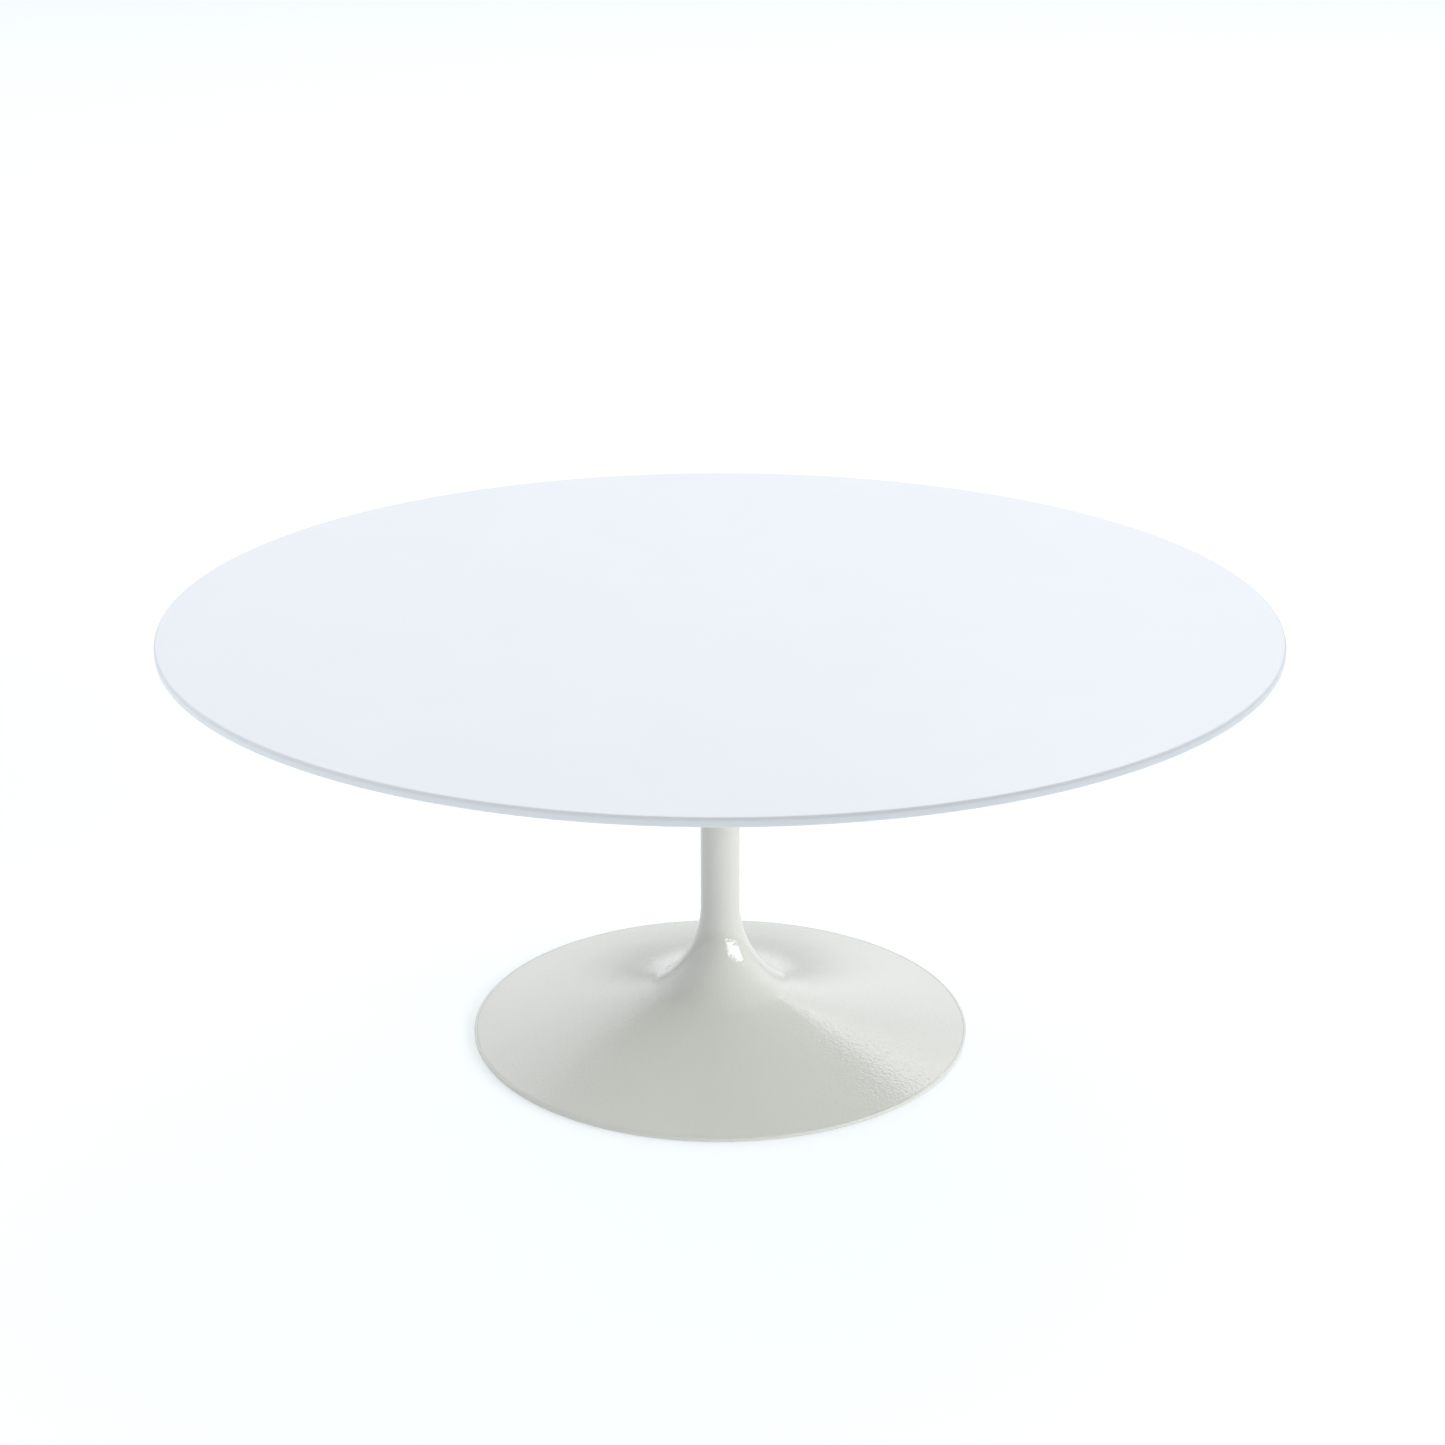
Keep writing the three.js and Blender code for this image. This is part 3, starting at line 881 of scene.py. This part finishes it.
SCREW_RADIUS = 0.003
SCREW_HEAD_HEIGHT = 0.0033
SCREW_HEAD_ROUND = 0.0016
SCREW_HEAD_RING = 0.0028
SMALL_EDGE = 0.0002  # broken edges of the small turned pieces
SOCKET_ACROSS_FLATS = 0.004
SOCKET_DEPTH = 0.002
SOCKET_LEAD_IN = 0.0003
SOCKET_LEAD_WIDTH = 0.0012
SOCKET_LEAD_OVERLAP = 0.0001
INSERT_BORE = 0.00325
INSERT_RADIUS = 0.00455
INSERT_FLANGE_THICKNESS = 0.0012
INSERT_PITCH = 0.0025
INSERT_THREAD_DEPTH = 0.0006
SCREW_TURN = 47  # degrees between one screw's socket and the next


def screw_piece():
    """A button-head socket screw, head down, on the Z axis."""
    head_radius = (screw_high.x - screw_low.x) / 2
    head_top = screw_low.z + SCREW_HEAD_HEIGHT
    rounding = (head_radius - SCREW_HEAD_ROUND, screw_low.z + SCREW_HEAD_ROUND)
    join = 0.0005
    outline = [(SCREW_HEAD_RING, screw_low.z)]
    outline += arc(*rounding, SCREW_HEAD_ROUND, -90, 0, 8)
    outline += [
        (head_radius, head_top - SMALL_EDGE),
        (head_radius - SMALL_EDGE, head_top),
        (SCREW_RADIUS, head_top),
    ]
    head = turned(outline, SMALL_FACETS)
    shank = thread(SCREW_RADIUS, SCREW_PITCH, head_top - join, screw_high.z)
    combine(head, [shank], "UNION")
    corner = hexagon_corner(SOCKET_ACROSS_FLATS)
    socket = bar(corner, screw_low.z - PAST, screw_low.z + SOCKET_DEPTH, facets=6)
    lead_in = turned(
        [
            (corner + SOCKET_LEAD_WIDTH, screw_low.z - PAST),
            (corner - SOCKET_LEAD_OVERLAP, screw_low.z + SOCKET_LEAD_IN),
        ],
        SMALL_FACETS,
    )
    combine(head, [socket, lead_in], "DIFFERENCE")
    return finish_piece(head, "plate_screw")


def insert_piece():
    """A flanged insert with a coarse outer thread that bites into the board."""
    flange_radius = (insert_high.x - insert_low.x) / 2
    flange_top = insert_low.z + INSERT_FLANGE_THICKNESS
    join = 0.0004
    ends = (flange_top - join, insert_high.z)
    body = thread(INSERT_RADIUS, INSERT_PITCH, *ends, INSERT_THREAD_DEPTH)
    flange = turned(
        [
            (flange_radius - SMALL_EDGE, insert_low.z),
            (flange_radius, insert_low.z + SMALL_EDGE),
            (flange_radius, flange_top),
        ],
        SMALL_FACETS,
    )
    combine(body, [flange], "UNION")
    bore = bar(INSERT_BORE, insert_low.z - PAST, insert_high.z + PAST)
    return finish_piece(combine(body, [bore], "DIFFERENCE"), "threaded_insert")


def set_out(pattern, material, slot, places, nodes, bodies, name, turn=0):
    """Copies one finished pattern to each of its places, then removes it."""
    for index, ((x, y), node, body) in enumerate(zip(places, nodes, bodies), start=1):
        angle = math.radians(turn * index)
        twin = copy_of(pattern, f"{name}_{index}", (x, y, 0), angle)
        dress(twin, material, slot, body, node)
    bpy.data.objects.remove(pattern)


screw = screw_piece()
insert = insert_piece()
fixed = ["frame"] * len(screw_places)
set_out(
    screw, zinc, "zinc_steel", screw_places, SCREW_NODES, fixed, "socket_screw", SCREW_TURN
)
set_out(insert, brass, "brass", screw_places, INSERT_NODES, fixed, "brass_insert")

# ---- Levelling glides ----------------------------------------------------

PAD_ROUND = 0.0008
PAD_FLOOR = 0.0009
PAD_LIP = 0.0006
PAD_TOOL_HOLE = 0.0032
PAD_LEAD_IN = 0.0003
STUD_RADIUS = 0.003
STUD_FIT = 0.0003
STUD_SLOT_WIDTH = 0.0012
STUD_SLOT_DEPTH = 0.0006
STUD_CHAMFER = 0.0006
PAD_RADIUS = (pad_high.x - pad_low.x) / 2
STUD_FLANGE_RADIUS = (stud_high.x - stud_low.x) / 2


def pad_piece():
    """The nylon pad: rounded outside, with a recess that the stud's flange turns in."""
    recess_radius = STUD_FLANGE_RADIUS + STUD_FIT
    recess_top = pad_high.z - PAD_LIP
    lower_round = (PAD_RADIUS - PAD_ROUND, pad_low.z + PAD_ROUND)
    upper_round = (PAD_RADIUS - PAD_ROUND, pad_high.z - PAD_ROUND)
    outline = [(PAD_TOOL_HOLE + PAD_LEAD_IN, pad_low.z)]
    outline += arc(*lower_round, PAD_ROUND, -90, 0, 6)
    outline += arc(*upper_round, PAD_ROUND, 0, 90, 6)
    outline += [
        (STUD_RADIUS + STUD_FIT, pad_high.z),
        (STUD_RADIUS + STUD_FIT, recess_top),
        (recess_radius, recess_top),
        (recess_radius, pad_low.z + PAD_FLOOR),
        (PAD_TOOL_HOLE, pad_low.z + PAD_FLOOR),
        (PAD_TOOL_HOLE, pad_low.z + PAD_LEAD_IN),
    ]
    return finish_piece(turned(outline, SMALL_FACETS, closed=True), "nylon_pad")


def stud_piece():
    """The glide's stud: a threaded shank on a flange with a screwdriver slot."""
    flange_top = pad_high.z - PAD_LIP - STUD_FIT
    flange = turned(
        [
            (STUD_FLANGE_RADIUS - SMALL_EDGE, stud_low.z),
            (STUD_FLANGE_RADIUS, stud_low.z + SMALL_EDGE),
            (STUD_FLANGE_RADIUS, flange_top - SMALL_EDGE),
            (STUD_FLANGE_RADIUS - SMALL_EDGE, flange_top),
            (STUD_RADIUS, flange_top),
        ],
        SMALL_FACETS,
    )
    join = 0.0003
    shank = thread(STUD_RADIUS, GLIDE_PITCH, flange_top - join, stud_high.z)
    envelope = turned(
        [
            (STUD_RADIUS + PAST, flange_top - PAST),
            (STUD_RADIUS + PAST, stud_high.z - STUD_CHAMFER - PAST),
            (STUD_RADIUS - STUD_CHAMFER, stud_high.z),
        ],
        SMALL_FACETS,
    )
    combine(shank, [envelope], "INTERSECT")
    reach = STUD_FLANGE_RADIUS + PAST
    slot = block(
        (-reach, -STUD_SLOT_WIDTH / 2, stud_low.z - PAST),
        (reach, STUD_SLOT_WIDTH / 2, stud_low.z + STUD_SLOT_DEPTH),
    )
    combine(flange, [shank], "UNION")
    return finish_piece(combine(flange, [slot], "DIFFERENCE"), "glide_stud")


pad = pad_piece()
stud = stud_piece()
set_out(pad, nylon, "nylon", glide_places, PAD_NODES, PAD_NODES, "nylon_pad")
set_out(stud, zinc, "zinc_steel", glide_places, STUD_NODES, STUD_NODES, "zinc_stud")

# ---- Floor, light and camera ---------------------------------------------

FLOOR_SIZE = 60
CAMERA_PLACE = (0, -2.0895, 1.0300)
CAMERA_TILT = 19.77  # degrees down
CAMERA_TURN = -0.053  # degrees to the left
CAMERA_LENS = 66.28  # mm
CAMERA_SENSOR = 36  # mm
CAMERA_REACH = 200  # past the far edge of the floor
LIT_POINT = (0, 0, 0.08)  # what both panels face
PANEL_POWER = 4  # watts per square metre and unit of brightness

FLOOR_GLOW = (0.92, 1.0, 1.04, 1)
FLOOR_GLOW_STRENGTH = 0.45
ROOM_LIGHT = (0.98, 1.0, 1.04, 1)
BACKDROP = (0.96, 1.0, 1.0, 1)

# Brightness of the room by direction: walls are level + y * (slope + x * tilt), dimmed towards
# the floor, and the ceiling is level + x * slope. Each band is a pair of heights on a sphere
WALL_LEVEL = 1.00
WALL_SLOPE = 0.82
WALL_TILT = 0.29
WALL_FOOT = 0.30
WALL_FOOT_BAND = (0.02, 0.30)
CEILING_LEVEL = 0.72
CEILING_SLOPE = -0.40
CEILING_BAND = (0.46, 0.72)


def mix_shaders(tree, factor, first, second):
    """The first shader where the factor is 0 and the second where it is 1."""
    sockets = {0: factor, 1: first, 2: second}
    return add_node(tree, "ShaderNodeMixShader", sockets).outputs["Shader"]


def times_plus(tree, first, second, extra):
    """The product of two values, plus a third."""
    sockets = {0: first, 1: second, 2: extra}
    return add_node(tree, "ShaderNodeMath", sockets, operation="MULTIPLY_ADD").outputs["Value"]


def eased(tree, value, band, foot=0.0):
    """A value that eases from its foot up to 1 across a band of another value."""
    sockets = {"Value": value, "From Min": band[0], "From Max": band[1], "To Min": foot}
    made = add_node(tree, "ShaderNodeMapRange", sockets, interpolation_type="SMOOTHSTEP")
    return made.outputs["Result"]


def studio_floor():
    """A pale, evenly lit floor that glows a little, so that it stays near white. It is clear
    from below, where it would hide the underside of the table."""
    object_mode()
    bpy.ops.mesh.primitive_plane_add(size=FLOOR_SIZE)
    floor = bpy.context.object
    floor.name = "studio_floor"
    material, tree, where = empty_material("pale_studio_floor")
    shader = add_node(
        tree,
        "ShaderNodeBsdfPrincipled",
        {
            "Base Color": tone(tree, noise(tree, where, 900), "#CECECE", "#CCCCCC"),
            "Roughness": 0.9,
            "Specular IOR Level": 0.0,
            "Emission Color": FLOOR_GLOW,
            "Emission Strength": FLOOR_GLOW_STRENGTH,
        },
    )
    from_below = add_node(tree, "ShaderNodeNewGeometry").outputs["Backfacing"]
    clear = add_node(tree, "ShaderNodeBsdfTransparent").outputs["BSDF"]
    one_way = mix_shaders(tree, from_below, shader.outputs["BSDF"], clear)
    add_node(tree, "ShaderNodeOutputMaterial", {"Surface": one_way})
    floor.data.materials.append(material)


def studio_world():
    """Soft light from all round: brightest low down behind the table and dark in front of it,
    under a dim ceiling that is brighter to the left. The backdrop itself is plain and pale."""
    world = bpy.data.worlds.new("studio")
    world.use_nodes = True
    tree = world.node_tree
    tree.nodes.clear()
    direction = add_node(tree, "ShaderNodeTexCoord").outputs["Generated"]
    split = add_node(tree, "ShaderNodeSeparateXYZ", {"Vector": direction})
    x, y, z = (split.outputs[axis] for axis in "XYZ")
    slope = times_plus(tree, x, WALL_TILT, WALL_SLOPE)
    walls = times_plus(tree, slope, y, WALL_LEVEL)
    rise = eased(tree, z, WALL_FOOT_BAND, WALL_FOOT)
    band = add_node(tree, "ShaderNodeMath", {0: walls, 1: rise}, operation="MULTIPLY")
    ceiling = times_plus(tree, x, CEILING_SLOPE, CEILING_LEVEL)
    height = eased(tree, z, CEILING_BAND)
    levels = {"Factor": height, "A": band.outputs["Value"], "B": ceiling}
    brightness = add_node(tree, "ShaderNodeMix", levels, data_type="FLOAT").outputs["Result"]
    light = add_node(tree, "ShaderNodeBackground", {"Color": ROOM_LIGHT, "Strength": brightness})
    backdrop = add_node(tree, "ShaderNodeBackground", {"Color": BACKDROP})
    seen = add_node(tree, "ShaderNodeLightPath").outputs["Is Camera Ray"]
    shown = mix_shaders(tree, seen, light.outputs["Background"], backdrop.outputs["Background"])
    add_node(tree, "ShaderNodeOutputWorld", {"Surface": shown})
    bpy.context.scene.world = world


def panel(name, azimuth, elevation, distance, width, height, radiance):
    """A soft light panel that faces the table, at an azimuth in degrees from the back towards
    the right, with the brightness that its face shows."""
    turn, lift = math.radians(azimuth), math.radians(elevation)
    level = math.cos(lift)
    towards = Vector((math.sin(turn) * level, math.cos(turn) * level, math.sin(lift)))
    data = bpy.data.lights.new(name, "AREA")
    data.shape = "RECTANGLE"
    data.size = width
    data.size_y = height
    data.energy = PANEL_POWER * width * height * radiance
    light = bpy.data.objects.new(name, data)
    light.location = Vector(LIT_POINT) + towards * distance
    light.rotation_euler = towards.to_track_quat("Z", "Y").to_euler()
    light.visible_camera = False
    bpy.context.scene.collection.objects.link(light)
    return light


def shield(light, piece):
    """Keeps a light off one piece, as a studio flag does."""
    kept_off = bpy.data.collections.new("kept_off_by_" + light.name)
    kept_off.objects.link(piece)
    kept_off.collection_objects[0].light_linking.link_state = "EXCLUDE"
    light.light_linking.receiver_collection = kept_off


def studio_camera():
    """The camera, in front of the table and above it."""
    data = bpy.data.cameras.new("camera")
    data.lens = CAMERA_LENS
    data.sensor_width = CAMERA_SENSOR
    data.clip_end = CAMERA_REACH
    camera = bpy.data.objects.new("camera", data)
    camera.location = CAMERA_PLACE
    camera.rotation_euler = (math.radians(90 - CAMERA_TILT), 0, math.radians(CAMERA_TURN))
    bpy.context.scene.collection.objects.link(camera)
    bpy.context.scene.camera = camera


studio_floor()
studio_world()
window = panel(
    "window", azimuth=124, elevation=17.5, distance=9, width=8.8, height=2.4, radiance=6
)
panel("key", azimuth=26, elevation=47.5, distance=10, width=5.8, height=5.8, radiance=1.1)
shield(window, board)
studio_camera()
bpy.context.scene.view_settings.view_transform = "Standard"
